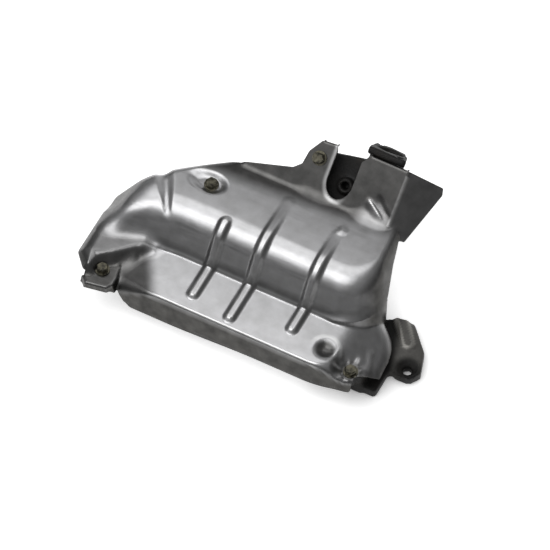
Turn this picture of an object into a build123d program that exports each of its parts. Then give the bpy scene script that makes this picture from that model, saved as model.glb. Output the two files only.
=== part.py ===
from build123d import *
import math
import os

os.makedirs("parts", exist_ok=True)

# Millimetres. X runs along the shield, Y away from the panel's front skirt, Z up from the head flange's face.
WALL = 1.2            # sheet thickness
PANEL_Z = 50          # top of the flat panel
SKIRT_Z = 25          # bottom edge of the skirts
CROWN_H = 36          # crown above the panel
WALL_ANGLE = 55       # slope of the crown's front wall
SHOULDER_R = 32       # bend over the crown's front edge
FRONT_Y = -32         # foot of the crown's front wall
LEFT_RUN = 48         # the left end's slope in plan, from its foot to the top

WALL_A = math.radians(WALL_ANGLE)
WALL_RISE = CROWN_H - SHOULDER_R * (1 - math.cos(WALL_A))
WALL_RUN = WALL_RISE / math.tan(WALL_A)
TOP_RUN = WALL_RUN + SHOULDER_R * math.sin(WALL_A)

# Crown sides, counter-clockwise: a point, a direction in degrees and the share of the wall's run each one takes.
SIDES = {
    "front_left": (-98, FRONT_Y - 1, 20.5, 1.0),
    "front": (0, FRONT_Y, 0.0, 1.0),
    "right": (121, 20, 95.0, 0.42),
    "back": (0, 76, 180.0, 0.0),
    "back_left": (-55, 82, 215.0, 0.4),
    "diagonal": (-161, -9, 224.0, 0.4),
    "left": (-159, -35, 270.0, LEFT_RUN / TOP_RUN),
}
BEND_R = 25           # plan bends of the crown
FRONT_RIGHT_R = 42
BACK_LEFT_R = 110
TIP_R = 17

SKIRT_FRONT = -87     # bottom edge of the front skirt
SKIRT_DRAFT = 11
PANEL_RIGHT = 104
PANEL_EDGE = (-91, -48), (-70, -83)      # where the panel's left corner turns down
CORNER_FALL = 0.22
TRAY_RIGHT = 151
TRAY_SLOPE = 0.48     # fall of the panel's right end
TRAY_CORNER_R = 20
CORNER_CUT = (112, -89), (154, -46)     # the skirt ends here, clear of the right bolt's boss
EDGE_R = 4            # bend where a top meets its side walls
END_R = 18

LEDGE_Z = 57
LEDGE_PLAN = [(-153.5, -77), (-145, -86), (-141, -70), (-127, -60), (-110, -44), (-96, -38), (-84, -15)]
LEDGE_PLAN += [(-120, 0), (-158, -25)]
LEDGE_HEM = 8         # depth of the ledge's open edge
TAB_Z = 46
TAB_PLAN = [(-144, -92), (-138.5, -98), (-117, -94), (-113, -88), (-113, -78), (-117, -63), (-123, -50)]
TAB_PLAN += [(-140, -50)]
TAB_HEM = 6
BLOCK_DRAFT = 8
BLOCK_R = 3

RAMP_Y = 63.5         # where the rear ramp leaves the crown's top
RAMP_ANGLE = 40
RAMP_BACK = 120
WING_X = 96           # crease between the box face and the wing
WING_NORMAL = (0.49, -0.56, 0.67)
REAR_EDGE = [(-80, 78), (-66, 64.5), (-10, 77), (-3, 82), (-0.9, 92.4), (8, 103), (23, 104), (25, 100)]
REAR_EDGE += [(25, 78), (29, 70), (37, 67.5), (45, 70), (50, 77), (50, 99), (56, 106.5), (WING_X, 106.5)]
REAR_EDGE += [(127.5, 114.5), (129, 110), (111, 57)]
RIGHT_EDGE = [(5, 24), (14, 50), (40, 68), (60, 79)]    # Y and Z of the right wall's bottom edge
HEM = 5               # folded lips on the ear and the box

BEAD_R = 10           # the raised beads are parts of round bars this big
BEAD_H = 3.5
BEADS = [(-41, -64, -1), (1, -71, 52), (58, -56, 34)]   # X, start Y, end Y
DIMPLE = (95, -61)
DIMPLE_R, DIMPLE_DEPTH = 24, 3.2
GROOVE = [(-90, -20, 77), (-99, -6, 91), (-127, 39, 90)]
GROOVE_R = 9

BOLT_R = 3            # M6 flange bolts
BOLT_LENGTH = 12
HEX_AF = 10
HEAD_H = 6
BOLT_FLANGE_R = 7
BOLT_FLANGE_T = 1.6
SHEET_HOLE_R = 3.4
PAD_R = 10
LEFT_BOLT = (-130, -77)
RIGHT_BOLT = (124, -66)
RIGHT_PAD_Z = 37.5
RIGHT_BOSS_R = 5.5
CROWN_BOLT = (-73, 33)
CROWN_PAD_Z = PANEL_Z + CROWN_H - 4
EAR_BOLT = (11, 90.4)

CAST_WALL = 4.5       # the manifold's casting
FLANGE_T = 12
FLANGE_CORNER_R = 3.5
FLANGE_PLAN = [(-122, -38), (-60, -46), (116, -46), (116, -60), (147, -60), (147, -30), (156, -34), (169, -32)]
FLANGE_PLAN += [(175, -22), (168, 0), (146, 24), (128, 22), (118, 16), (-60, 18), (-122, 8)]
STUDS = [(-114, -15), (-57.5, 9), (3.5, -38), (64.5, 9), (162, -24)]
STUD_HOLE_R = 4.5
PORT_Y = -15
PORTS = [(-88, -84), (-27, -27), (34, 34), (95, 76)]     # X on the head flange, X on the log
PORT_STRAIGHT = 14
RUNNER_R = 19
LOG_Y, LOG_Z, LOG_R = 20, 52, 25
LOG_LEFT, LOG_RIGHT = -86, 78
NECK_X, NECK_R = 66, 17
NECK_STRAIGHT = 14
NECK_DEPTH = 25       # the neck's axis below the ramp
OUTLET_REACH = 64     # along the ramp from its foot
OUTLET_T = 7.5
OUTLET_PLAN = [(-15, -23.5), (24, -23.5), (20.5, -13), (10, 20), (-6, 26), (-21, 20), (-17, -13)]
OUTLET_CORNER_R = 2.5
OUTLET_STUDS = [(15, -17), (-15, 17)]
BOSS_R = 8
SENSOR_R = 7.5
OUTLET_STUD_R = 3.4
ARM_PLAN = [(-137, -77), (-123, -77), (-121, -64), (-126.5, -50), (-117, -38), (-90, 0), (-105, 12), (-134, -40)]
WEB_DEPTH, WEB_T = 18, 10
WEB_PLAN = [(2, -4), (60, -4), (60, 50), (40, 47), (20, 43), (3, 41)]   # X and reach along the ramp
THREAD_R = 3.05

SLOPE = math.radians(RAMP_ANGLE)
CROWN_Z = PANEL_Z + CROWN_H
RAMP_NORMAL = Vector(0, -math.sin(SLOPE), math.cos(SLOPE))
RAMP_DIR = Vector(0, math.cos(SLOPE), math.sin(SLOPE))


def ramp_point(x, y):
    return Vector(x, y, CROWN_Z + (y - RAMP_Y) * math.tan(SLOPE))


OUTLET = ramp_point(NECK_X, RAMP_Y) + RAMP_DIR * OUTLET_REACH - RAMP_NORMAL * NECK_DEPTH
SENSOR = ramp_point(40, RAMP_Y) + RAMP_DIR * 18.4 - RAMP_NORMAL * 11.5


def crown_levels(skin):
    """Run, height and inset of the skin, from the foot of the crown's wall to its flat top."""
    levels = [(0, PANEL_Z - skin * math.cos(WALL_A), skin * math.sin(WALL_A))]
    for share in (0, 0.35, 0.7, 1):
        slope = WALL_A * (1 - share)
        run = WALL_RUN + SHOULDER_R * (math.sin(WALL_A) - math.sin(slope))
        rise = CROWN_H - SHOULDER_R * (1 - math.cos(slope))
        levels.append((run, PANEL_Z + rise - skin * math.cos(slope), skin * math.sin(slope)))
    return levels


def side_line(name, run, thick):
    x, y, heading, share = SIDES[name]
    move = run * share + (thick if share else 0)
    a = math.radians(heading)
    return x - math.sin(a) * move, y + math.cos(a) * move, math.cos(a), math.sin(a)


def corner(first, second):
    x1, y1, u1, v1 = first
    x2, y2, u2, v2 = second
    t = ((x2 - x1) * v2 - (y2 - y1) * u2) / (u1 * v2 - v1 * u2)
    return x1 + u1 * t, y1 + v1 * t


def crown_outline(run, z, thick):
    """The crown's plan outline on the contour where its wall has come in by this run."""
    lines = [side_line(name, run, thick) for name in SIDES]
    points = [corner(lines[i], lines[(i + 1) % len(lines)]) for i in range(len(lines))]
    bend, front_right, back_right, back_end, back_left, left_back, left_front = points
    tip = TIP_R * (1 - 0.9 * run / TOP_RUN)
    rounds = [(bend, BEND_R), (front_right, FRONT_RIGHT_R - 0.3 * run), (back_left, BACK_LEFT_R), (left_back, tip)]
    rounds.append((left_front, tip))
    with BuildSketch(Plane.XY.offset(z)) as outline:
        with BuildLine():
            Polyline(*points, close=True)
        make_face()
        for point, radius in rounds:
            fillet(outline.vertices().sort_by_distance(Vector(*point, 0))[0], radius)
    return outline.sketch


def crown_form(skin):
    levels = crown_levels(skin)
    with BuildPart() as crown:
        loft([crown_outline(*level) for level in levels])
        extrude(crown_outline(*levels[0]), amount=SKIRT_Z - levels[0][1] - skin)
    return crown.part


def tray_form(skin):
    """The flat panel with its sloping ends and drafted skirts."""
    plan_points = [
        (-128, SKIRT_FRONT), (112, SKIRT_FRONT), (TRAY_RIGHT, -66), (TRAY_RIGHT - 3, -18), (120, 6),
        (120, 40), (-95, 40), (-128, 5)
    ]
    low_right = PANEL_Z - (TRAY_RIGHT + 20 - PANEL_RIGHT) * TRAY_SLOPE
    with BuildPart() as tray:
        with BuildSketch(Plane.XY.offset(SKIRT_Z - skin)) as plan:
            with BuildLine():
                Polyline(*plan_points, close=True)
            make_face()
            for point in plan_points[1:4]:
                fillet(plan.vertices().sort_by_distance(Vector(*point, 0))[0], TRAY_CORNER_R)
            if skin:
                offset(amount=-skin / math.cos(math.radians(SKIRT_DRAFT)), mode=Mode.REPLACE)
        extrude(amount=40, taper=SKIRT_DRAFT)
        with BuildSketch(Plane.XZ):
            with BuildLine():
                bent = FilletPolyline(
                    (-140, PANEL_Z - skin),
                    (PANEL_RIGHT, PANEL_Z - skin),
                    (TRAY_RIGHT + 20, low_right - skin),
                    radius=END_R,
                )
                Polyline(bent @ 1, (TRAY_RIGHT + 20, 0), (-140, 0), bent @ 0)
            make_face()
        extrude(amount=120, both=True, mode=Mode.INTERSECT)
        (x1, y1), (x2, y2) = PANEL_EDGE
        normal = Vector((y2 - y1) * CORNER_FALL, (x1 - x2) * CORNER_FALL, math.hypot(x2 - x1, y2 - y1)).normalized()
        split(bisect_by=Plane(origin=Vector(x1, y1, PANEL_Z) - normal * skin, z_dir=normal), keep=Keep.BOTTOM)
        tops = tray.faces().filter_by(lambda face: face.normal_at(face.center()).Z > 0.5)
        rim = [edge for edge in tops.edges() if sum(edge in face.edges() for face in tops) == 1]
        fillet([edge for edge in rim if -88 < edge.center().Y < 5 and edge.center().X > -120], EDGE_R - skin)
    return tray.part


def ramp_form(skin):
    """The rear ramp as a block with the wing bent down off its right; the inner form runs on out of its back."""
    drop = skin / math.cos(SLOPE)
    far = RAMP_BACK + (4 if skin else 0)
    with BuildPart() as ramp:
        with BuildSketch(Plane.XY.offset(SKIRT_Z - skin)):
            with BuildLine():
                Polyline((-60, 45), (95, 45), (106, 57), (118, 62), (138, far), (-60, far), close=True)
            make_face()
            if skin:
                offset(amount=-skin, mode=Mode.REPLACE)
        extrude(amount=150)
        with BuildSketch(Plane.YZ):
            with BuildLine():
                low, high = ramp_point(0, -150), ramp_point(0, 200)
                Polyline((low.Y, low.Z - drop), (high.Y, high.Z - drop), (high.Y, -300), (low.Y, -300), close=True)
            make_face()
        extrude(amount=200, both=True, mode=Mode.INTERSECT)
        normal = Vector(*WING_NORMAL).normalized()
        split(bisect_by=Plane(origin=ramp_point(WING_X, RAMP_Y) - normal * skin, z_dir=normal), keep=Keep.BOTTOM)
    return ramp.part


def block_form(points, z, skin):
    with BuildPart() as block:
        with BuildSketch(Plane.XY.offset(z - skin)):
            with BuildLine():
                Polyline(*points, close=True)
            make_face()
            if skin:
                offset(amount=-skin, kind=Kind.INTERSECTION, mode=Mode.REPLACE)
        extrude(amount=SKIRT_Z - z, taper=-BLOCK_DRAFT)
        fillet(block.faces().sort_by(Axis.Z)[-1].edges(), BLOCK_R - skin)
    return block.part


def bead_form(x, start, end, skin):
    """A round-ended bar along the panel and up the crown, sunk so that BEAD_H of it stands out."""
    sunk = BEAD_R - BEAD_H
    foot = FRONT_Y + sunk * math.tan(WALL_A / 2)
    wall_top = (FRONT_Y + WALL_RUN + sunk * math.sin(WALL_A), PANEL_Z + WALL_RISE - sunk * math.cos(WALL_A))
    centre = (FRONT_Y + WALL_RUN + SHOULDER_R * math.sin(WALL_A), CROWN_Z - SHOULDER_R)
    reach = SHOULDER_R - sunk
    last = math.asin(max(0, min(1, (centre[0] - end) / reach)))

    def over(angle):
        return centre[0] - reach * math.sin(angle), centre[1] + reach * math.cos(angle)

    with BuildPart() as bead:
        with BuildLine(Plane.YZ.offset(x)) as path:
            rise = FilletPolyline((start, PANEL_Z - sunk), (foot, PANEL_Z - sunk), wall_top, radius=15)
            bend = ThreePointArc(rise @ 1, over((WALL_A + last) / 2), over(last))
            if end > centre[0]:
                Line(bend @ 1, (end, CROWN_Z - sunk))
        with BuildSketch(Plane(origin=(x, start, PANEL_Z - sunk), z_dir=(0, 1, 0))):
            Circle(BEAD_R - skin)
        sweep(path=path.wire())
        with Locations((x, start, PANEL_Z - sunk), path.wire() @ 1):
            Sphere(BEAD_R - skin)
    return bead.part


def die(skin):
    """The shield's outer form with the sheet's thickness taken off all round."""
    with BuildPart() as form:
        add(tray_form(skin))
        add(crown_form(skin))
        add(ramp_form(skin))
        add(block_form(LEDGE_PLAN, LEDGE_Z, skin))
        add(block_form(TAB_PLAN, TAB_Z, skin))
        for x, start, end in BEADS:
            add(bead_form(x, start, end, skin))
        with Locations((*DIMPLE, PANEL_Z + DIMPLE_R - DIMPLE_DEPTH)):
            Sphere(DIMPLE_R + skin, mode=Mode.SUBTRACT)
        with BuildLine() as groove:
            FilletPolyline(*GROOVE, radius=20)
        with BuildSketch(Plane(origin=GROOVE[0], z_dir=groove.line % 0)):
            Circle(GROOVE_R + skin)
        sweep(path=groove.line, mode=Mode.SUBTRACT)
        with Locations(GROOVE[0]):
            Sphere(GROOVE_R + skin, mode=Mode.SUBTRACT)
        with Locations((*CROWN_BOLT, CROWN_PAD_Z - skin)):
            Cone(PAD_R, PAD_R + 20, 20, align=(Align.CENTER, Align.CENTER, Align.MIN), mode=Mode.SUBTRACT)
        with Locations((*RIGHT_BOLT, RIGHT_PAD_Z - skin)):
            Cone(PAD_R - 1, PAD_R + 19, 20, align=(Align.CENTER, Align.CENTER, Align.MIN), mode=Mode.SUBTRACT)
    return form.part


with BuildPart() as heat_shield:
    add(die(0))
    add(die(WALL), mode=Mode.SUBTRACT)
    with BuildSketch(Plane.XY):
        with BuildLine():
            Polyline(*REAR_EDGE, (220, 57), (220, 200), (-120, 200), close=True)
        make_face()
    extrude(amount=200, mode=Mode.SUBTRACT)
    with BuildSketch(Plane.XY):
        with BuildLine():
            Polyline((-200, -120), (-108, -120), (-108, -88), (-117, -88), (-117, -66), (-200, -66), close=True)
        make_face()
    extrude(amount=TAB_Z - TAB_HEM, mode=Mode.SUBTRACT)
    with BuildSketch(Plane.XY):
        with BuildLine():
            Polyline((-200, -90), (-143, -90), (-143, -40), (-200, 0), close=True)
        make_face()
    extrude(amount=LEDGE_Z - LEDGE_HEM, mode=Mode.SUBTRACT)
    with BuildSketch(Plane.YZ):
        with BuildLine():
            Polyline(*RIGHT_EDGE, (RIGHT_EDGE[-1][0], 0), (RIGHT_EDGE[0][0], 0), close=True)
        make_face()
    extrude(amount=200, mode=Mode.SUBTRACT)
    with BuildSketch(Plane.XY):
        with BuildLine():
            Polyline(*CORNER_CUT, (200, -46), (200, -120), (112, -120), close=True)
        make_face()
    extrude(amount=60, mode=Mode.SUBTRACT)
    for first, last, edge in ((10, 23, 103.5), (58, WING_X - 2, 106.5)):
        top = ramp_point(first, edge)
        with BuildSketch(Plane(origin=top, x_dir=RAMP_NORMAL, z_dir=(1, 0, 0))):
            Rectangle(HEM, WALL, align=(Align.MAX, Align.MIN))
        extrude(amount=last - first)
    with Locations((*LEFT_BOLT, 50), (*RIGHT_BOLT, 50), (*CROWN_BOLT, 80)):
        Cylinder(SHEET_HOLE_R, 60, mode=Mode.SUBTRACT)
    with Locations(Plane(origin=ramp_point(*EAR_BOLT), z_dir=RAMP_NORMAL)):
        Cylinder(SHEET_HOLE_R, 12, mode=Mode.SUBTRACT)
heat_shield.part.label = "heat_shield"
export_step(heat_shield.part, "parts/heat_shield.step")


def flow(cast):
    """The log, its four runners and the outlet neck, with the casting's thickness taken off."""
    past = 1 if cast else 0
    with BuildPart() as ways:
        with Locations(((LOG_LEFT + LOG_RIGHT) / 2, LOG_Y, LOG_Z)):
            Cylinder(LOG_R - cast, LOG_RIGHT - LOG_LEFT, rotation=(0, 90, 0))
        with Locations((LOG_LEFT, LOG_Y, LOG_Z), (LOG_RIGHT, LOG_Y, LOG_Z)):
            Sphere(LOG_R - cast)
        for port, joint in PORTS:
            with BuildLine() as way:
                Line((port, PORT_Y, -past), (port, PORT_Y, PORT_STRAIGHT))
                Spline((port, PORT_Y, PORT_STRAIGHT), (joint, LOG_Y, LOG_Z), tangents=((0, 0, 1), (0, 0.8, 0.6)))
            with BuildSketch(Plane(origin=(port, PORT_Y, -past), z_dir=(0, 0, 1))):
                Circle(RUNNER_R - cast)
            sweep(path=way.wire())
        straight = OUTLET - RAMP_DIR * NECK_STRAIGHT
        with BuildLine() as way:
            Spline((NECK_X, LOG_Y, LOG_Z), straight, tangents=((0, 1, 0), RAMP_DIR))
            Line(straight, OUTLET + RAMP_DIR * past)
        with BuildSketch(Plane(origin=(NECK_X, LOG_Y, LOG_Z), z_dir=(0, 1, 0))):
            Circle(NECK_R - cast)
        sweep(path=way.wire())
    return ways.part


with BuildPart() as exhaust_manifold:
    with BuildSketch(Plane.XY) as flange:
        with BuildLine():
            Polyline(*FLANGE_PLAN, close=True)
        make_face()
        fillet(flange.vertices(), FLANGE_CORNER_R)
    extrude(amount=FLANGE_T)
    add(flow(0))
    with BuildSketch(Plane(origin=OUTLET, x_dir=(1, 0, 0), z_dir=RAMP_DIR)) as outlet:
        with BuildLine():
            Polyline(*OUTLET_PLAN, close=True)
        make_face()
        fillet(outlet.vertices(), OUTLET_CORNER_R)
    extrude(amount=-OUTLET_T)
    with Locations((*CROWN_BOLT, CROWN_PAD_Z - WALL)):
        Cylinder(BOSS_R, 20, align=(Align.CENTER, Align.CENTER, Align.MAX))
    with Locations((*RIGHT_BOLT, RIGHT_PAD_Z - WALL)):
        Cylinder(RIGHT_BOSS_R, 16, align=(Align.CENTER, Align.CENTER, Align.MAX))
    with Locations((RIGHT_BOLT[0], -53, 0)):
        Box(18, 18, RIGHT_PAD_Z - WALL - 6, align=(Align.CENTER, Align.CENTER, Align.MIN))
    with Locations((*LEFT_BOLT, TAB_Z - WALL)):
        Cylinder(BOSS_R, 14, align=(Align.CENTER, Align.CENTER, Align.MAX))
    with BuildSketch(Plane.XY.offset(TAB_Z - WALL - 13)):
        with BuildLine():
            Polyline(*ARM_PLAN, close=True)
        make_face()
    extrude(amount=11)
    with Locations(Plane(origin=ramp_point(*EAR_BOLT) - RAMP_NORMAL * WALL, z_dir=RAMP_NORMAL)):
        Cylinder(BOSS_R, 20, align=(Align.CENTER, Align.CENTER, Align.MAX))
    with BuildSketch(Plane(origin=ramp_point(0, RAMP_Y) - RAMP_NORMAL * WEB_DEPTH, x_dir=(1, 0, 0), z_dir=RAMP_NORMAL)):
        with BuildLine():
            Polyline(*WEB_PLAN, close=True)
        make_face()
    extrude(amount=-WEB_T)
    with Locations(Plane(origin=SENSOR, x_dir=(1, 0, 0), z_dir=RAMP_NORMAL)):
        Cylinder(SENSOR_R, 16, align=(Align.CENTER, Align.CENTER, Align.MAX))
    add(flow(CAST_WALL), mode=Mode.SUBTRACT)
    with Locations(*[(x, y, 0) for x, y in STUDS]):
        Cylinder(STUD_HOLE_R, 60, mode=Mode.SUBTRACT)
    with Locations((*STUDS[-1], FLANGE_T)):
        Cylinder(9, 5, mode=Mode.SUBTRACT)
    with Locations(Plane(origin=OUTLET, x_dir=(1, 0, 0), z_dir=RAMP_DIR)):
        with Locations(*OUTLET_STUDS):
            Cylinder(OUTLET_STUD_R, 40, mode=Mode.SUBTRACT)
    with Locations(Plane(origin=SENSOR, z_dir=RAMP_NORMAL)):
        Cylinder(4, 24, mode=Mode.SUBTRACT)
    with Locations((*CROWN_BOLT, CROWN_PAD_Z), (*RIGHT_BOLT, RIGHT_PAD_Z), (*LEFT_BOLT, TAB_Z)):
        Cylinder(THREAD_R, 2 * BOLT_LENGTH + 1, mode=Mode.SUBTRACT)
    with Locations(Plane(origin=ramp_point(*EAR_BOLT), z_dir=RAMP_NORMAL)):
        Cylinder(THREAD_R, 2 * BOLT_LENGTH + 1, mode=Mode.SUBTRACT)
exhaust_manifold.part.label = "exhaust_manifold"
export_step(exhaust_manifold.part, "parts/exhaust_manifold.step")

with BuildPart() as flange_bolt:
    Cylinder(BOLT_FLANGE_R, BOLT_FLANGE_T, align=(Align.CENTER, Align.CENTER, Align.MIN))
    with BuildSketch(Plane.XY):
        RegularPolygon(HEX_AF / 2, 6, major_radius=False)
    extrude(amount=HEAD_H)
    chamfer(flange_bolt.faces().sort_by(Axis.Z)[-1].edges(), 0.7)
    Cylinder(BOLT_R, BOLT_LENGTH, align=(Align.CENTER, Align.CENTER, Align.MAX))
    chamfer(flange_bolt.faces().sort_by(Axis.Z)[0].edges(), 0.6)

with BuildPart() as bolt_left:
    add(flange_bolt.part.moved(Location((*LEFT_BOLT, TAB_Z))))
bolt_left.part.label = "bolt_left"
export_step(bolt_left.part, "parts/bolt_left.step")

with BuildPart() as bolt_right:
    add(flange_bolt.part.moved(Location((*RIGHT_BOLT, RIGHT_PAD_Z))))
bolt_right.part.label = "bolt_right"
export_step(bolt_right.part, "parts/bolt_right.step")

with BuildPart() as bolt_crown:
    add(flange_bolt.part.moved(Location((*CROWN_BOLT, CROWN_PAD_Z))))
bolt_crown.part.label = "bolt_crown"
export_step(bolt_crown.part, "parts/bolt_crown.step")

with BuildPart() as bolt_ear:
    add(flange_bolt.part.moved(Plane(origin=ramp_point(*EAR_BOLT), x_dir=(1, 0, 0), z_dir=RAMP_NORMAL).location))
bolt_ear.part.label = "bolt_ear"
export_step(bolt_ear.part, "parts/bolt_ear.step")
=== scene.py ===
import math

import bpy
import numpy as np
from mathutils import Matrix, Vector


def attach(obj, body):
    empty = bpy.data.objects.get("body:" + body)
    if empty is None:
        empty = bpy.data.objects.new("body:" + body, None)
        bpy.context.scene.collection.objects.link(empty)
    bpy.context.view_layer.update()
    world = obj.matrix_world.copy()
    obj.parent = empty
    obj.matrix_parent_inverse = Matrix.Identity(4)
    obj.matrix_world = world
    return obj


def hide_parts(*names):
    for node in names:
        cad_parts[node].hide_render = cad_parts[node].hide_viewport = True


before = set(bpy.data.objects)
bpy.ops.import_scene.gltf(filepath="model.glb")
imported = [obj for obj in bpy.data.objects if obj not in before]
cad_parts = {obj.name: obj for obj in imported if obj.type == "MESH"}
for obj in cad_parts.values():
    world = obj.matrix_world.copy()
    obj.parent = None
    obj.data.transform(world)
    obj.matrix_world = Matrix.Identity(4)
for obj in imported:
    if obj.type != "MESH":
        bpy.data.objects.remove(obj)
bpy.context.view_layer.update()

# Sizes in millimetres, close to those in the part's source. A pair is mostly the range over
# which something comes or goes. _R is a radius, and _FOOT and _BEND are how soft a joint is.
MM = 0.001
WALL = 1.2
PANEL_Z, SKIRT_Z = 50, 25

# The crown. Each side has a point, a heading in degrees and its share of the wall's run.
CROWN_H, WALL_ANGLE, SHOULDER_R = 36, math.radians(55), 32
CROWN_Z = PANEL_Z + CROWN_H
WALL_RUN = (CROWN_H - SHOULDER_R * (1 - math.cos(WALL_ANGLE))) / math.tan(WALL_ANGLE)
TOP_RUN = WALL_RUN + SHOULDER_R * math.sin(WALL_ANGLE)
LEFT_RUN = 43
SIDES = {
    "front_left": (-98, -33, 20.5, 1.0),
    "front": (0, -32, 0.0, 1.0),
    "right": (121, 20, 95.0, 0.42),
    "back_left": (-57.5, 85.6, 215.0, 0.4),
    "diagonal": (-166.6, -2.8, 224.0, 0.4),
    "left": (-157, -35, 270.0, LEFT_RUN / TOP_RUN),
}
FRONT_BEND = 10
SIDE_BENDS = {"diagonal": 24, "back_left": 16, "left": 20}
FRONT_RIGHT_R, FRONT_RIGHT_SHRINK, FRONT_RIGHT_LEAST = 42, 0.3, 4
RUN_LOW, RUN_HIGH, RUN_ROUNDS = -80.0, 250.0, 22         # the search in round_corner
BELOW_PANEL = 3           # the walls are this many times as steep below the panel
CROWN_FOOT, RIGHT_FOOT, RIGHT_FOOT_X = 6, 14, (70, 120)

# The panel with its skirts. Its left corner turns down at PANEL_EDGE.
SKIRT_FRONT = -87
SKIRT_SLOPE = 1 / math.tan(math.radians(11))
PANEL_EDGE, CORNER_FALL, CORNER_BEND = ((-91, -48), (-70, -83)), 0.22, 2
PANEL_RIGHT, RIGHT_SLOPE, RIGHT_BEND = 104, 0.48, 5
RIGHT_SIDE = [(112, -87), (151, -66), (148, -18), (120, 6)]
LEFT_SIDE = [(120, 40), (-95, 40), (-128, 5), (-128, -87)]
TRAY_SIDES = [(RIGHT_SIDE, 14), (LEFT_SIDE, 4)]          # with the bend between their edges
SKIRT_R = 4.5
LEFT_SKIRT_R, LEFT_SKIRT_X = 12, (-115, -75)             # more than SKIRT_R at either end
RIGHT_SKIRT_R, RIGHT_SKIRT_X = 9, (90, 116)

# The ledge at the left and the tab in front of it, each bent down just inside its plan.
EDGE_IN = 1
LEDGE_Z, LEDGE_HEM, LEDGE_SLOPE, LEDGE_FOOT = 57, 8, 1.1, 11
LEDGE_R, LEDGE_END_R, LEDGE_END_X = 6, 9, (-150, -132)
LEDGE_FALL_X = -110, -93  # its top falls to the panel here
LEDGE_PLAN = [(-153, -69), (-143, -80), (-141, -70), (-127, -60), (-110, -44)]
LEDGE_PLAN += [(-96, -38), (-84, -15), (-120, 0), (-153, -23)]
TAB_Z, TAB_HEM, TAB_SLOPE, TAB_R, TAB_FOOT = 46, 6, 4, 3, 3
TAB_PLAN = [(-144, -92), (-138.5, -98), (-117, -94), (-113, -88)]
TAB_PLAN += [(-113, -78), (-117, -63), (-123, -50), (-140, -50)]

# The rear ramp with the ear, the notch, the box and the wing along its edge.
RAMP_Y, RAMP_RISE = 63.5, math.tan(math.radians(40))
RAMP_LEFT, RAMP_LEFT_R = -58, 6
RAMP_RIGHT, RAMP_RIGHT_R = ((95, 45), (118, 62)), 4
RAMP_SIDE_SLOPE = 4
WING_X, WING_NORMAL, WING_BEND = 96, (0.49, -0.56, 0.67), 1.2
RAMP_CREASE, SOFT_CREASES, SOFT_CREASE_OFF = 2.2, [(20, 3), (78, 6)], (6, 26)   # X and how much softer
REAR_EDGE = [(-84, 63), (-66, 64.5), (-10, 77), (-3, 82), (-0.9, 92.4), (8, 103), (23, 104)]
REAR_EDGE += [(25, 100), (50, 99), (56, 106.5), (96, 106.5), (127.5, 114.5), (129, 110), (111, 57)]
FAR_BEHIND = [(220, 57), (220, 200), (-220, 200), (-220, 66)]
NOTCH, NOTCH_END, NOTCH_R = (37.5, 80), (37.5, 140), 12.5
LIPS = [(10, 23, 95), (58, 94, 99)]      # first X, last X and first Y of what is folded down
HEM_PLAN, HEM_SLOPE, HEM_BEND = 3.2, 2.03, 2
NO_HEM = 50

# The lower edge where it leaves SKIRT_Z, and the right corner that is cut off clear of the foot.
RIGHT_TRIM_X = 95
RIGHT_TRIM_Y, RIGHT_TRIM_Z = (5, 14, 40, 60, 64), (24, 50, 68, 77, 73)
FRONT_TRIM_Y, BESIDE_TAB = -70, (-115, -103)
SKIRT_DROP, SKIRT_DROP_START, SKIRT_DROP_END = 4, (-103, -95), (-60, 40)
TAB_TRIM = [(-200, -120), (-115, -120), (-115, -84), (-119, -84), (-119, -66), (-200, -66)]
LEDGE_TRIM, LEDGE_TRIM_OFF = ((-143, -40), (-200, 0)), (-48, -16)
LEDGE_TRIM_X, TAB_END_Y, TAB_END = -143, -90, 2
CORNER_CUT = (130, -69), (152, -50)

# What stands out of the sheet or is sunk into it.
BEADS = [(-41, -64, -1), (1, -71, 46), (58, -56, 34)]    # X, start Y, end Y
BEAD_H, BEAD_OFF = 3.6, (1.5, 7.8)
BEAD_FADE, BEAD_FADE_SHARE = 0.8, (0.6, 1)               # of the beads that end on the crown
KNOB, KNOB_H, KNOB_OFF = (60, 41), 1.4, (0, 7)           # the swelling at the right bead's end
DIMPLE, DIMPLE_DEPTH, DIMPLE_OFF = (95, -61), 4.5, (1, 13)
GROOVE, GROOVE_DEPTH, GROOVE_TIP = ((-92, -17), (-126, 37)), 2.8, (0, 0.3)
GROOVE_FLAT, GROOVE_HALF, GROOVE_WIDER, GROOVE_WIDEN = 0.5, 4.5, 5.5, (0, 0.7)
EYE_LEFT, EYE_RIGHT, EYE_HALF, EYE_DEPTH, EYE_OFF = 26, 18, 13, 4, (0.45, 1)
FOLDS = [                 # start, end and height of the wrinkles at the box's foot and the right corner
    ((66, 78), (91, 65), 1.4),
    ((75, 83), (97, 68), -1.0),
    ((130, -32), (140, -60), 1.0),
]
FOLD_LEFT, FOLD_RIGHT, FOLD_START, FOLD_END = 2.5, 7, (0, 0.3), (0.6, 1)

# The bolts' seats. The sheet is pressed flat round the right bolt and crumpled round that.
LEFT_BOLT, RIGHT_BOLT, CROWN_BOLT, EAR_BOLT = (-130, -77), (124, -66), (-73, 33), (11, 90.4)
SHEET_HOLE_R = 3.4
PAD_Z, PAD_OFF = 38, (6, 21)
CRUMPLE_H, CRUMPLES, CRUMPLE_START, CRUMPLE_END = 0.4, 9, (7, 11), (13, 22)

# The mesh. No grid line lies on a trimmed edge.
GRID, GRID_X, GRID_Y = 1.0, (-164.4, 155), (-100.6, 118)
SLOPE_REACH, NORMAL_REACH, SWELL_REACH = 3, 0.4, 1.6

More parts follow.
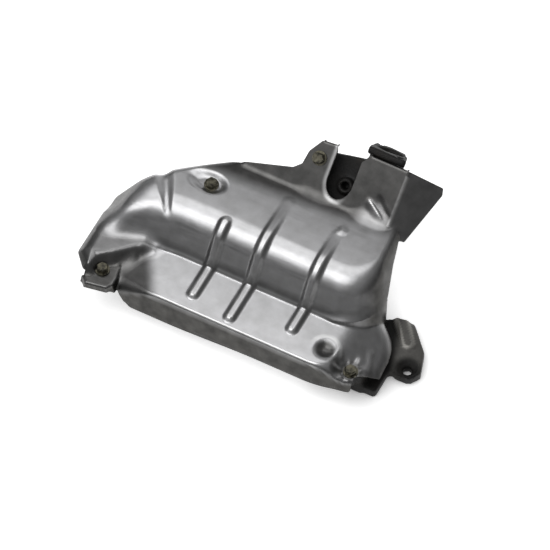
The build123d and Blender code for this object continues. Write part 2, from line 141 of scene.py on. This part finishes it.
# Painted shade on the sheet: how dark it is, and over what tilts, distances and heights it comes or
# goes.
STEEP_TILT, END_TILT = (0.25, 0.75), (0.3, 0.9)
FOOT_SHADE, FOOT_Z, FOOT_TILT = 0.62, (PANEL_Z + 3, PANEL_Z + 17), (0.2, 0.4)
REAR_SHADE, REAR_Y, REAR_SKEW = 0.92, (42, 60), 0.06
BOX_FOOT, BOX_FOOT_OFF, BOX_FOOT_LESS_SHADE = (80, 64), (6, 20), 0.35
WING_OFF, WING_LESS_SHADE = (0, 3), 0.25
LEFT_SHADE, LEFT_OFF, LEFT_Z = 0.85, (-5, 11), (52, 66)
TAB_SHADE, TAB_IN, TAB_SHADE_Z = 0.93, (-3, 1), (TAB_Z + 1, TAB_Z + 6)
RIGHT_SHADE, RIGHT_SHADE_X, RIGHT_SHADE_Y = 0.4, (92, 116), 60
DIMPLE_SHADE, DIMPLE_SHADE_OFF = 0.9, (7, 12)
BOLT_SHADE, BOLT_SHADE_OFF = 0.8, (8, 16)

# Painted highlights on its bends and round the dimple and the notch.
BEND_HIGHLIGHT, BEND_SWELL, BEND_X = 0.7, (0.05, 0.25), (104, 118)
WING_HIGHLIGHT, WING_HIGHLIGHT_OFF = 0.45, (0.5, 2.5)
RIM_HIGHLIGHT, RIM_R, RIM_OFF, RIM_Y = 0.9, 14, (0.5, 3), (-2, 6)
NOTCH_HIGHLIGHT, NOTCH_START, NOTCH_STOP = 0.55, (0.3, 1.2), (2, 5)
NOTCH_HIGHLIGHT_X = NOTCH[0] + 4, NOTCH[0] + 12
HIGHLIGHT_IN = 4               # distance from the rear edge, which has none

# The right lug of the casting, with the web raised on it and a painted highlight along the web and over
# the lug.
FLANGE_T = 12
VOXEL, SMOOTHING, SMOOTHINGS = 0.0018, 0.5, 4
LUG_EDGE, LUG_HOLE, CUP_OFF = ((128, 22), (147, -36)), (162, -24), (9, 17)
LUG_TOP_TILT, LUG_TOP = 0.3, 4
LUG_WEB, WEB_H, WEB_OFF = ((133, 22), (150, 1)), 7, (4, 9)
WEB_START, WEB_TAPER = (-0.3, 0.4), 0.6
RIDGE_AT, RIDGE_OFF = 5, (0.5, 3)
LUG_HIGHLIGHT, LUG_HIGHLIGHT_OFF = 0.35, (0, 8)

# Colours of the patches on each surface, and where in the noise they turn.
SHEET_TURNS = 0.3, 0.7
SHEET_PLAIN = (0.46, 0.46, 0.465), (0.55, 0.55, 0.56)
SHEET_SHADED = (0.044, 0.043, 0.041), (0.083, 0.081, 0.077)
SHEET_HIGHLIGHT = (0.62, 0.62, 0.62), (0.74, 0.74, 0.74)
IRON_TURNS = 0.35, 0.6, 0.75
IRON = (0.006, 0.006, 0.006), (0.014, 0.013, 0.012), (0.028, 0.023, 0.018)
IRON_HIGHLIGHT_TURNS, IRON_HIGHLIGHT = (0.35, 0.7), ((0.32, 0.31, 0.29), (0.55, 0.54, 0.51))
ZINC_TURNS, ZINC = (0.35, 0.65), ((0.045, 0.043, 0.036), (0.17, 0.16, 0.12))
NOISE_LOW, NOISE_HIGH = 0.3, 0.7

# The studio, in metres: floor, camera and the tones of the world by height and behind the object.
FLOOR_HALF, FLOOR_GLOW, FLOOR_SHADE = 6, 0.88, 0.05
TARGET, BACK = Vector((16.4, -10.2, 50)) * MM, Vector((0.2549, -0.4896, 0.8339))
LENS, SENSOR, FRAME_WIDTH, CLIP_END = 350, 36, 0.5116, 50
SKY_TURNS, SKY_TONES = (0.0, 0.2, 0.6, 0.85, 1.0), (0.10, 0.13, 0.22, 0.22, 0.30)
BEHIND_TURNS, BEHIND_TONES = (0.66, 0.95), (0, 0.5)
MIX_FIRST, MIX_SECOND, MIX_OUT = 6, 7, 2                 # the colour sockets of a Mix node


def soft_min(a, b, r):
    """The lower of two heights, with the edge between them rounded over a height of r."""
    share = np.clip(0.5 + 0.5 * (b - a) / r, 0, 1)
    return b + (a - b) * share - r * share * (1 - share)


def soft_max(a, b, r):
    return -soft_min(-a, -b, r)


def ease(low, high, t):
    """0 up to low, 1 from high on, and smooth between them."""
    s = np.clip((t - low) / (high - low), 0, 1)
    return s * s * (3 - 2 * s)


def fade(low, high, t):
    return 1 - ease(low, high, t)


def left_of(x, y, start, end):
    """Distance to the left of the line from start to end."""
    along, up = end[0] - start[0], end[1] - start[1]
    return (along * (y - start[1]) - up * (x - start[0])) / math.hypot(along, up)


def from_point(x, y, point):
    return np.hypot(x - point[0], y - point[1])


def from_segment(x, y, start, end):
    """Distance from a segment, and the share of its length at the nearest point."""
    along, up = end[0] - start[0], end[1] - start[1]
    share = np.clip(((x - start[0]) * along + (y - start[1]) * up) / (along**2 + up**2), 0, 1)
    return np.hypot(x - start[0] - share * along, y - start[1] - share * up), share


def inside(x, y, outline):
    """Distance in from the edge of a plan outline, negative outside it."""
    nearest = np.full(x.shape, np.inf)
    odd = np.zeros(x.shape, bool)
    for start, end in zip(outline, outline[1:] + outline[:1]):
        nearest = np.minimum(nearest, from_segment(x, y, start, end)[0])
        rise = (end[1] - start[1]) or 1
        crossing = start[0] + (end[0] - start[0]) * (y - start[1]) / rise
        odd ^= ((start[1] > y) != (end[1] > y)) & (x < crossing)
    return np.where(odd, nearest, -nearest)


def bend(t, slope, r):
    """Fall of a top that bends down at t = 0 into a wall of this slope, over a bend of radius r."""
    angle = math.atan(slope)
    reach = r * math.tan(angle / 2) - t
    arc = np.clip(reach, 0, r * math.sin(angle))
    return r - np.sqrt(r * r - arc * arc) + slope * np.maximum(0, reach - r * math.sin(angle))


def round_corner(front, right, share):
    """The run at which the crown's outline, rounded at its front right, passes through a point."""
    low, high = np.full(front.shape, RUN_LOW), np.full(front.shape, RUN_HIGH)
    for _ in range(RUN_ROUNDS):
        run = (low + high) / 2
        r = np.maximum(FRONT_RIGHT_R - FRONT_RIGHT_SHRINK * run, FRONT_RIGHT_LEAST)
        corner = np.maximum(0, r - front + run), np.maximum(0, r - right + share * run)
        inner = np.hypot(*corner) < r
        low, high = np.where(inner, run, low), np.where(inner, high, run)
    return low


def crown(x, y):
    def run(name):
        px, py, heading, share = SIDES[name]
        a = math.radians(heading)
        return ((y - py) * math.cos(a) - (x - px) * math.sin(a)) / share

    share = SIDES["right"][3]
    front = soft_max(run("front_left"), run("front"), FRONT_BEND)
    t = round_corner(front, run("right") * share, share)
    for name, r in SIDE_BENDS.items():
        t = soft_min(t, run(name), r)
    over = np.clip(TOP_RUN - t, 0, TOP_RUN - WALL_RUN)
    arc = CROWN_H - SHOULDER_R + np.sqrt(SHOULDER_R**2 - over**2)
    wall = np.where(t < 0, BELOW_PANEL, 1) * t * math.tan(WALL_ANGLE)
    return PANEL_Z + np.where(t < WALL_RUN, wall, arc)


def tray(x, y):
    """The flat panel, its sloping ends and the skirts round it."""
    top = soft_min(PANEL_Z, PANEL_Z + CORNER_FALL * left_of(x, y, *PANEL_EDGE), CORNER_BEND)
    top = soft_min(top, PANEL_Z - (x - PANEL_RIGHT) * RIGHT_SLOPE, RIGHT_BEND)
    side = y - SKIRT_FRONT
    for points, r in TRAY_SIDES:
        for start, end in zip(points, points[1:]):
            side = soft_min(side, left_of(x, y, start, end), r)
    r = SKIRT_R + LEFT_SKIRT_R * fade(*LEFT_SKIRT_X, x) + RIGHT_SKIRT_R * ease(*RIGHT_SKIRT_X, x)
    return top - bend(side - (top - SKIRT_Z) / SKIRT_SLOPE, SKIRT_SLOPE, r)


def ramp(x, y):
    """The rear ramp, with the wing bent down off its right."""
    up = CROWN_Z + (y - RAMP_Y) * RAMP_RISE
    a, b, c = WING_NORMAL
    wing = CROWN_Z - (a * (x - WING_X) + b * (y - RAMP_Y)) / c
    slope = soft_min(up, wing, WING_BEND) - bend(x - RAMP_LEFT, RAMP_SIDE_SLOPE, RAMP_LEFT_R)
    return slope - bend(left_of(x, y, *RAMP_RIGHT), RAMP_SIDE_SLOPE, RAMP_RIGHT_R)


def pressing(x, y):
    """Height of the die that the sheet is pressed over."""
    z = soft_max(tray(x, y), crown(x, y), CROWN_FOOT + RIGHT_FOOT * ease(*RIGHT_FOOT_X, x))
    ledge_r = LEDGE_R + LEDGE_END_R * fade(*LEDGE_END_X, x)
    ledge_top = LEDGE_Z - (LEDGE_Z - PANEL_Z) * ease(*LEDGE_FALL_X, x)
    ledge = ledge_top - bend(inside(x, y, LEDGE_PLAN) - EDGE_IN, LEDGE_SLOPE, ledge_r)
    tab = TAB_Z - bend(inside(x, y, TAB_PLAN) - EDGE_IN, TAB_SLOPE, TAB_R)
    z = soft_max(soft_max(z, ledge, LEDGE_FOOT), tab, TAB_FOOT)
    crease = RAMP_CREASE
    for at, softer in SOFT_CREASES:
        crease = crease + softer * fade(*SOFT_CREASE_OFF, np.abs(x - at))
    return soft_max(z, ramp(x, y), crease)


def relief(x, y):
    """How far the beads stand out of the sheet, less the depth of what is sunk into it."""
    rise = np.zeros(x.shape)
    for bead_x, start, end in BEADS:
        off, share = from_segment(x, y, (bead_x, start), (bead_x, end))
        low_end = 1 - BEAD_FADE * ease(*BEAD_FADE_SHARE, share) * (end > 0)
        rise += BEAD_H * low_end * fade(*BEAD_OFF, off)
    rise -= DIMPLE_DEPTH * fade(*DIMPLE_OFF, from_point(x, y, DIMPLE))
    off, share = from_segment(x, y, *GROOVE)
    half = GROOVE_HALF + GROOVE_WIDER * ease(*GROOVE_WIDEN, share)
    rise -= GROOVE_DEPTH * ease(*GROOVE_TIP, share) * fade(GROOVE_FLAT, half, off)
    long_half = np.where(x < CROWN_BOLT[0], EYE_LEFT, EYE_RIGHT)
    off = np.hypot((x - CROWN_BOLT[0]) / long_half, (y - CROWN_BOLT[1]) / EYE_HALF)
    rise -= EYE_DEPTH * fade(*EYE_OFF, off)
    for start, end, tall in FOLDS:
        off, share = from_segment(x, y, start, end)
        width = np.where(left_of(x, y, start, end) > 0, FOLD_LEFT, FOLD_RIGHT)
        rise += tall * fade(0, width, off) * ease(*FOLD_START, share) * fade(*FOLD_END, share)
    return rise + KNOB_H * fade(*KNOB_OFF, from_point(x, y, KNOB))


def height(x, y):
    """Height of the sheet's upper face."""
    reach = SLOPE_REACH
    z = pressing(x, y)
    slope_x = (pressing(x + reach, y) - pressing(x - reach, y)) / (2 * reach)
    slope_y = (pressing(x, y + reach) - pressing(x, y - reach)) / (2 * reach)
    z = z + relief(x, y) * np.sqrt(1 + slope_x**2 + slope_y**2)
    off = from_point(x, y, RIGHT_BOLT)
    turn = np.arctan2(y - RIGHT_BOLT[1], x - RIGHT_BOLT[0])
    folds = CRUMPLE_H * np.cos(CRUMPLES * turn) * ease(*CRUMPLE_START, off) * fade(*CRUMPLE_END, off)
    pad = fade(*PAD_OFF, off)
    z = z * (1 - pad) + PAD_Z * pad + folds
    return z - soft_max(0, -hem_edge(x, y) * HEM_SLOPE, HEM_BEND)


def hem_edge(x, y):
    """Distance in from the rear edge where its lips are folded down, and NO_HEM elsewhere."""
    lips = np.zeros(x.shape, bool)
    for first, last, start in LIPS:
        lips |= (x > first) & (x < last) & (y > start)
    return np.where(lips, rear_edge(x, y), NO_HEM)


def rear_edge(x, y):
    """Distance in from the rear edge and the notch in it."""
    return np.minimum(-inside(x, y, REAR_EDGE + FAR_BEHIND), from_notch(x, y))


def from_notch(x, y):
    return from_segment(x, y, NOTCH, NOTCH_END)[0] - NOTCH_R


def lower_edge(x, y):
    """Height at which the walls and skirts end."""
    right = np.interp(y, RIGHT_TRIM_Y, RIGHT_TRIM_Z, right=SKIRT_Z)
    z = np.where(x > RIGHT_TRIM_X, np.maximum(SKIRT_Z, right), SKIRT_Z)
    beside_tab = np.interp(x, BESIDE_TAB, (TAB_Z - TAB_HEM, SKIRT_Z))
    z = np.where(y < FRONT_TRIM_Y, np.maximum(z, beside_tab), z)
    z = z - SKIRT_DROP * (y < FRONT_TRIM_Y) * ease(*SKIRT_DROP_START, x) * fade(*SKIRT_DROP_END, x)
    z = np.where(inside(x, y, TAB_TRIM) > 0, TAB_Z - TAB_HEM, z)
    left_end = x < LEDGE_TRIM_X - TAB_END * (y < TAB_END_Y)
    ledge = left_end * ease(*LEDGE_TRIM_OFF, left_of(x, y, *LEDGE_TRIM))
    return z + ledge * (LEDGE_Z - LEDGE_HEM - z)


def kept(x, y, z):
    """Positive where the sheet is, zero along its trimmed edges."""
    lip = HEM_PLAN * (hem_edge(x, y) < NO_HEM)
    keep = np.minimum(z - lower_edge(x, y), rear_edge(x, y) + lip)
    corner = np.maximum(CORNER_CUT[0][0] - x, left_of(x, y, *CORNER_CUT))
    keep = np.minimum(keep, corner)
    for hole in (LEFT_BOLT, RIGHT_BOLT, CROWN_BOLT, EAR_BOLT):
        keep = np.minimum(keep, from_point(x, y, hole) - SHEET_HOLE_R)
    return keep


def trim(points, triangles, keep):
    """Cuts the triangles off along keep = 0."""
    whole = (keep[triangles] > 0).sum(axis=1)
    made = {}
    points = list(points)

    def cut(a, b):
        key = (min(a, b), max(a, b))
        if key not in made:
            share = keep[a] / (keep[a] - keep[b])
            made[key] = len(points)
            points.append(points[a] + share * (points[b] - points[a]))
        return made[key]

    extra = []
    for tri in triangles[(whole == 1) | (whole == 2)].tolist():
        inner = [i for i in range(3) if keep[tri[i]] > 0]
        if len(inner) == 1:
            a, b, c = (tri[(inner[0] + k) % 3] for k in range(3))
            extra.append((a, cut(a, b), cut(a, c)))
        else:
            out = ({0, 1, 2} - set(inner)).pop()
            a, b, c = (tri[(out + k) % 3] for k in range(3))
            ab, ac = cut(a, b), cut(a, c)
            extra += [(ab, b, c), (ab, c, ac)]
    return np.array(points), np.vstack([triangles[whole == 3], np.array(extra)])


def thicken(points, triangles, normals, thickness):
    """Closes a sheet into a solid of this thickness below it, and tells which faces are smooth."""
    used, triangles = np.unique(triangles, return_inverse=True)
    triangles = triangles.reshape(-1, 3)
    outer, count = points[used], len(used)
    inner = outer - normals[used] * thickness
    links = np.vstack([triangles[:, [0, 1]], triangles[:, [1, 2]], triangles[:, [2, 0]]])
    keys = links.min(axis=1) * count + links.max(axis=1)
    _, index, times = np.unique(keys, return_index=True, return_counts=True)
    rim = links[index[times == 1]]
    wall = np.vstack([np.column_stack([rim[:, 1], rim[:, 0], rim[:, 0] + count]),
                      np.column_stack([rim[:, 1], rim[:, 0] + count, rim[:, 1] + count])])
    faces = np.vstack([triangles, triangles[:, ::-1] + count, wall])
    return np.vstack([outer, inner]), faces, np.arange(len(faces)) < 2 * len(triangles)


def shield_mesh():
    xs, ys = np.arange(*GRID_X, GRID), np.arange(*GRID_Y, GRID)
    x, y = (a.ravel() for a in np.meshgrid(xs, ys))
    z = height(x, y)
    corner = (np.arange(len(ys) - 1)[:, None] * len(xs) + np.arange(len(xs) - 1)).ravel()
    right, up = corner + 1, corner + len(xs)
    triangles = np.vstack([np.column_stack([corner, right, up + 1]),
                           np.column_stack([corner, up + 1, up])])
    points, triangles = trim(np.column_stack([x, y, z]), triangles, kept(x, y, z))
    x, y, reach = points[:, 0], points[:, 1], NORMAL_REACH
    slope_x = (height(x + reach, y) - height(x - reach, y)) / (2 * reach)
    slope_y = (height(x, y + reach) - height(x, y - reach)) / (2 * reach)
    normals = np.column_stack([-slope_x, -slope_y, np.ones(len(points))])
    normals /= np.linalg.norm(normals, axis=1)[:, None]
    return thicken(points, triangles, normals, WALL)


def make_piece(name, points, triangles, smooth, material, slot, node):
    mesh = bpy.data.meshes.new(name)
    mesh.from_pydata((points * MM).tolist(), [], triangles.tolist())
    mesh.polygons.foreach_set("use_smooth", smooth)
    piece = bpy.data.objects.new(name, mesh)
    bpy.context.collection.objects.link(piece)
    mesh.materials.append(material)
    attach(piece, "root")
    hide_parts(node)
    return piece


def read_points(mesh):
    """The points and normals of a mesh, each as one row of numbers."""
    place, normal = np.empty(3 * len(mesh.vertices)), np.empty(3 * len(mesh.vertices))
    mesh.vertices.foreach_get("co", place)
    mesh.vertex_normals.foreach_get("vector", normal)
    return place, normal


def write_values(mesh, name, values):
    mesh.attributes.new(name, "FLOAT", "POINT").data.foreach_set("value", values)


def shade_points(mesh):
    """Painted shade on the sheet's steep walls, creases, recesses, rear and cut edges, and painted
    highlights on its outward bends.
    """
    place, normal = read_points(mesh)
    x, y, z = place.reshape(-1, 3).T / MM
    sideways, _, up = np.abs(normal.reshape(-1, 3).T)
    tilt = 1 - up
    dimple, notch = from_point(x, y, DIMPLE), from_notch(x, y)

    # Painted shade where the crown's wall rises off the panel.
    foot = FOOT_SHADE * fade(*FOOT_Z, z) * ease(*FOOT_TILT, tilt)
    # Painted shade over the rear ramp, ear and box, dimming their reflections; less of it at the box's
    # foot and past the wing.
    rear = REAR_SHADE * ease(*REAR_Y, y - REAR_SKEW * x)
    rear *= 1 - BOX_FOOT_LESS_SHADE * fade(*BOX_FOOT_OFF, from_point(x, y, BOX_FOOT))
    rear *= 1 - WING_LESS_SHADE * ease(*WING_OFF, x - WING_X)
    # Painted shade on the slope past the panel's left corner.
    left = LEFT_SHADE * ease(*LEFT_OFF, -left_of(x, y, *PANEL_EDGE)) * fade(*LEFT_Z, z)
    # Painted shade in the tab's pocket.
    tab = TAB_SHADE * ease(*TAB_IN, inside(x, y, TAB_PLAN)) * fade(*TAB_SHADE_Z, z)
    # Painted shade over the right end.
    right = RIGHT_SHADE * ease(*RIGHT_SHADE_X, x) * (y < RIGHT_SHADE_Y)
    # Painted shade in the dimple.
    sunk = DIMPLE_SHADE * fade(*DIMPLE_SHADE_OFF, dimple)
    # Painted shade round the right bolt's recess.
    bolt = BOLT_SHADE * fade(*BOLT_SHADE_OFF, from_point(x, y, RIGHT_BOLT))
    # Painted shade on the cut edges: their points are fully dark and get no painted highlight.
    cut = np.zeros(len(x))
    cut[[i for face in mesh.polygons if not face.use_smooth for i in face.vertices]] = 1
    # Painted shade on steep walls and on ends that face sideways.
    walls = ease(*STEEP_TILT, tilt), ease(*END_TILT, sideways)
    painted_shade = np.maximum.reduce([*walls, foot, rear, left, tab, right, sunk, bolt, cut])

    r = SWELL_REACH
    around = [height(x + dx, y + dy) for dx, dy in ((r, 0), (-r, 0), (0, r), (0, -r))]
    swell = (height(x, y) - sum(around) / len(around)) * up**3
    # Painted highlights on outward bends that face up.
    bends = BEND_HIGHLIGHT * ease(*BEND_SWELL, swell) * (1 - left) * fade(*BEND_X, x)
    # Painted highlight along the wing's fold.
    wing = WING_HIGHLIGHT * fade(*WING_HIGHLIGHT_OFF, np.abs(x - WING_X)) * (y > RAMP_Y)
    # Painted highlight on the dimple's rim.
    rim = RIM_HIGHLIGHT * fade(*RIM_OFF, np.abs(dimple - RIM_R)) * ease(*RIM_Y, y - DIMPLE[1])
    # Painted highlight round the notch's rim.
    notch_rim = NOTCH_HIGHLIGHT * ease(*NOTCH_START, notch) * fade(*NOTCH_STOP, notch)
    notch_rim *= fade(*NOTCH_HIGHLIGHT_X, x)
    painted_highlight = np.maximum.reduce([bends, wing, rim]) * (rear_edge(x, y) > HIGHLIGHT_IN)

    write_values(mesh, "painted_shade", painted_shade)
    write_values(mesh, "painted_highlight", np.maximum(painted_highlight, notch_rim) * (1 - cut))


def make_casting(material):
    """The manifold with its edges softened as a sand mould leaves them."""
    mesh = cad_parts["exhaust_manifold"].data.copy()
    mesh.name = "manifold_casting"
    mesh.materials.clear()
    mesh.materials.append(material)
    piece = bpy.data.objects.new("manifold_casting", mesh)
    bpy.context.collection.objects.link(piece)
    grid = piece.modifiers.new("grid", "REMESH")
    grid.mode, grid.voxel_size = "VOXEL", VOXEL
    soften = piece.modifiers.new("soften", "SMOOTH")
    soften.factor, soften.iterations = SMOOTHING, SMOOTHINGS
    depsgraph = bpy.context.evaluated_depsgraph_get()
    mesh = bpy.data.meshes.new_from_object(piece.evaluated_get(depsgraph))
    piece.modifiers.clear()
    piece.data = mesh
    shape_lug(mesh)
    mesh.shade_smooth()
    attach(piece, "root")
    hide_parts("exhaust_manifold")


def shape_lug(mesh):
    """Raises the web along the right lug and marks where a painted highlight lies on its ridge and on
    the lug.
    """
    place, normal = read_points(mesh)
    x, y, z = place.reshape(-1, 3).T / MM
    off, share = from_segment(x, y, *LUG_WEB)
    top = (normal[2::3] > LUG_TOP_TILT) & (np.abs(z - FLANGE_T) < LUG_TOP)
    web = fade(*WEB_OFF, off) * ease(*WEB_START, share) * (1 - WEB_TAPER * share) * top
    place[2::3] += WEB_H * MM * web
    mesh.vertices.foreach_set("co", place)
    mesh.update()
    cup = fade(*CUP_OFF, from_point(x, y, LUG_HOLE))
    # Painted highlight along the web's ridge and over the lug, but not in the cup round its hole.
    ridges = fade(*RIDGE_OFF, np.abs(off - RIDGE_AT)) * top
    lug = LUG_HIGHLIGHT * ease(*LUG_HIGHLIGHT_OFF, left_of(x, y, *LUG_EDGE))
    write_values(mesh, "painted_lug_highlight", np.maximum(ridges, lug) * (1 - cup))


def new_material(name):
    material = bpy.data.materials.new(name)
    material.use_nodes = True
    tree = material.node_tree
    return material, tree, tree.nodes["Principled BSDF"]


def add_node(tree, kind, values=(), **settings):
    node = tree.nodes.new("ShaderNode" + kind)
    for key, value in settings.items():
        setattr(node, key, value)
    for key, value in dict(values).items():
        node.inputs[key].default_value = value
    return node


def noise(tree, scale, detail, stretch=(1, 1, 1)):
    """Noise over the object, in waves per metre."""
    place = add_node(tree, "TexCoord")
    mapping = add_node(tree, "Mapping", {"Scale": stretch})
    texture = add_node(tree, "TexNoise", {"Scale": scale, "Detail": detail})
    tree.links.new(place.outputs["Object"], mapping.inputs["Vector"])
    tree.links.new(mapping.outputs["Vector"], texture.inputs["Vector"])
    return texture.outputs["Fac"]


def ramp_colours(tree, value, turns, colours):
    node = add_node(tree, "ValToRGB")
    tree.links.new(value, node.inputs["Fac"])
    elements = node.color_ramp.elements
    while len(elements) < len(turns):
        elements.new(0.5)
    for element, turn, colour in zip(elements, turns, colours):
        element.position, element.color = turn, (*colour, 1)
    return node.outputs["Color"]


def greys(tones):
    return [(tone, tone, tone) for tone in tones]


def spread(tree, value, low, high):
    """Noise spread from low to high."""
    ends = {"From Min": NOISE_LOW, "From Max": NOISE_HIGH, "To Min": low, "To Max": high}
    node = add_node(tree, "MapRange", ends)
    tree.links.new(value, node.inputs["Value"])
    return node.outputs["Result"]


def attribute(tree, name):
    return add_node(tree, "Attribute", attribute_name=name).outputs["Fac"]


def mix(tree, amount, first, second):
    node = add_node(tree, "Mix", data_type="RGBA")
    tree.links.new(amount, node.inputs["Factor"])
    tree.links.new(first, node.inputs[MIX_FIRST])
    tree.links.new(second, node.inputs[MIX_SECOND])
    return node.outputs[MIX_OUT]


def compute(tree, operation, first, second):
    node = add_node(tree, "Math", operation=operation)
    tree.links.new(first, node.inputs[0])
    tree.links.new(second, node.inputs[1])
    return node.outputs["Value"]


def bump(tree, shader, value, strength, depth):
    node = add_node(tree, "Bump", {"Strength": strength, "Distance": depth})
    tree.links.new(value, node.inputs["Height"])
    tree.links.new(node.outputs["Normal"], shader.inputs["Normal"])


def sheet_material():
    """Aluminised steel sheet: satin, faintly mottled, with the mill's rolling grain along X."""
    material, tree, shader = new_material("shield_sheet")
    shader.inputs["Metallic"].default_value = 1
    mottle = noise(tree, scale=90, detail=4)
    grain = noise(tree, scale=500, detail=2, stretch=(0.06, 1, 1))
    plain, shaded, highlit = (ramp_colours(tree, mottle, SHEET_TURNS, colours)
                          for colours in (SHEET_PLAIN, SHEET_SHADED, SHEET_HIGHLIGHT))
    # The sheet's colour is darkened by painted shade, then lightened by painted highlights, both read
    # from point attributes.
    colour = mix(tree, attribute(tree, "painted_shade"), plain, shaded)
    colour = mix(tree, attribute(tree, "painted_highlight"), colour, highlit)
    tree.links.new(colour, shader.inputs["Base Color"])
    tree.links.new(spread(tree, grain, low=0.30, high=0.38), shader.inputs["Roughness"])
    bump(tree, shader, grain, strength=0.05, depth=0.0002)
    return material


def casting_material():
    """Scaled cast iron, rough from the sand."""
    material, tree, shader = new_material("casting")
    shader.inputs["Specular IOR Level"].default_value = 0.25
    patches, sand = noise(tree, scale=45, detail=5), noise(tree, scale=700, detail=3)
    scaled = ramp_colours(tree, patches, IRON_TURNS, IRON)
    highlit_iron = ramp_colours(tree, patches, IRON_HIGHLIGHT_TURNS, IRON_HIGHLIGHT)
    # The lug's painted highlight lightens the iron and makes it metallic.
    painted_lug_highlight = attribute(tree, "painted_lug_highlight")
    tree.links.new(painted_lug_highlight, shader.inputs["Metallic"])
    tree.links.new(mix(tree, painted_lug_highlight, scaled, highlit_iron), shader.inputs["Base Color"])
    tree.links.new(spread(tree, patches, low=0.45, high=0.7), shader.inputs["Roughness"])
    bump(tree, shader, sand, strength=0.6, depth=0.0006)
    return material


def zinc_material():
    """Dull zinc plating, yellowed in patches."""
    material, tree, shader = new_material("bolt_zinc")
    shader.inputs["Metallic"].default_value = 1
    patches = noise(tree, scale=260, detail=4)
    colour = ramp_colours(tree, patches, ZINC_TURNS, ZINC)
    tree.links.new(colour, shader.inputs["Base Color"])
    tree.links.new(spread(tree, patches, low=0.3, high=0.5), shader.inputs["Roughness"])
    bump(tree, shader, noise(tree, scale=1500, detail=2), strength=0.15, depth=0.0002)
    return material


def floor_material():
    """Pale floor that is white to the eye and in the metal, keeps the object's shadow, and has painted
    shade near the object from ambient occlusion on its glow.
    """
    material, tree, shader = new_material("studio_floor")
    shader.inputs["Base Color"].default_value = (0.8, 0.8, 0.8, 1)
    shader.inputs["Roughness"].default_value = 0.9
    shader.inputs["Specular IOR Level"].default_value = 0
    shader.inputs["Emission Color"].default_value = (1, 1, 1, 1)
    rays = add_node(tree, "LightPath").outputs
    mirrored = compute(tree, "MAXIMUM", rays["Is Glossy Ray"], rays["Is Transmission Ray"])
    seen = compute(tree, "MAXIMUM", rays["Is Camera Ray"], mirrored)
    # Painted shade: ambient occlusion darkens the floor's glow near the object.
    painted_contact_shade = add_node(tree, "AmbientOcclusion", {"Distance": FLOOR_SHADE}, samples=8)
    glow = add_node(tree, "Math", {1: FLOOR_GLOW}, operation="MULTIPLY")
    tree.links.new(painted_contact_shade.outputs["AO"], glow.inputs[0])
    lit = compute(tree, "MULTIPLY", seen, glow.outputs["Value"])
    tree.links.new(lit, shader.inputs["Emission Strength"])
    return material


def make_floor():
    mesh = bpy.data.meshes.new("floor")
    corners = [(side_x * FLOOR_HALF, side_y * FLOOR_HALF, 0)
               for side_x, side_y in ((-1, -1), (1, -1), (1, 1), (-1, 1))]
    mesh.from_pydata(corners, [], [(0, 1, 2, 3)])
    mesh.materials.append(floor_material())
    floor = bpy.data.objects.new("floor", mesh)
    bpy.context.collection.objects.link(floor)


def make_camera():
    """Long lens at the photograph's angle, with FRAME_WIDTH across the picture."""
    data = bpy.data.cameras.new("camera")
    data.lens, data.sensor_width = LENS, SENSOR
    data.clip_end = CLIP_END
    camera = bpy.data.objects.new("camera", data)
    camera.location = TARGET + BACK * (FRAME_WIDTH * data.lens / data.sensor_width)
    camera.rotation_mode = "QUATERNION"
    camera.rotation_quaternion = (-BACK).to_track_quat("-Z", "Y")
    bpy.context.collection.objects.link(camera)
    bpy.context.scene.camera = camera


def softbox(name, place, aim, width, depth, watts):
    data = bpy.data.lights.new(name, "AREA")
    data.shape, data.size, data.size_y, data.energy = "RECTANGLE", width, depth, watts
    light = bpy.data.objects.new(name, data)
    light.location = place
    back = (Vector(place) - Vector(aim)).normalized()
    side = Vector((0, 1, 0)).cross(back).normalized()
    light.rotation_mode = "QUATERNION"
    light.rotation_quaternion = Matrix((side, back.cross(side), back)).transposed().to_quaternion()
    light.visible_camera = False
    bpy.context.collection.objects.link(light)


def make_world():
    """A dim studio, paler overhead and behind the object."""
    world = bpy.data.worlds.new("studio")
    bpy.context.scene.world = world
    world.use_nodes = True
    tree = world.node_tree
    split = add_node(tree, "SeparateXYZ")
    tree.links.new(add_node(tree, "TexCoord").outputs["Generated"], split.inputs["Vector"])
    sky = ramp_colours(tree, split.outputs["Z"], SKY_TURNS, greys(SKY_TONES))
    behind = ramp_colours(tree, split.outputs["Y"], BEHIND_TURNS, greys(BEHIND_TONES))
    both = add_node(tree, "Mix", {"Factor": 1}, data_type="RGBA", blend_type="ADD")
    tree.links.new(sky, both.inputs[MIX_FIRST])
    tree.links.new(behind, both.inputs[MIX_SECOND])
    tree.links.new(both.outputs[MIX_OUT], tree.nodes["Background"].inputs["Color"])


make_camera()
make_floor()
make_world()
softbox("overhead", place=(-0.3, -0.46, 1.17), aim=(0, 0, 0.08), width=1.2, depth=0.66, watts=6.0)
softbox("strip", place=(-0.07, 0.07, 0.35), aim=(-0.07, 0.07, 0), width=0.44, depth=0.15, watts=0.29)

make_casting(casting_material())
zinc = zinc_material()
for name in ("bolt_left", "bolt_right", "bolt_crown", "bolt_ear"):
    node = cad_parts[name]
    node.data.materials.clear()
    node.data.materials.append(zinc)
shield = make_piece("shield_pressing", *shield_mesh(), sheet_material(), "shield_sheet", "heat_shield")
shade_points(shield.data)

bpy.context.scene.view_settings.view_transform = "Standard"
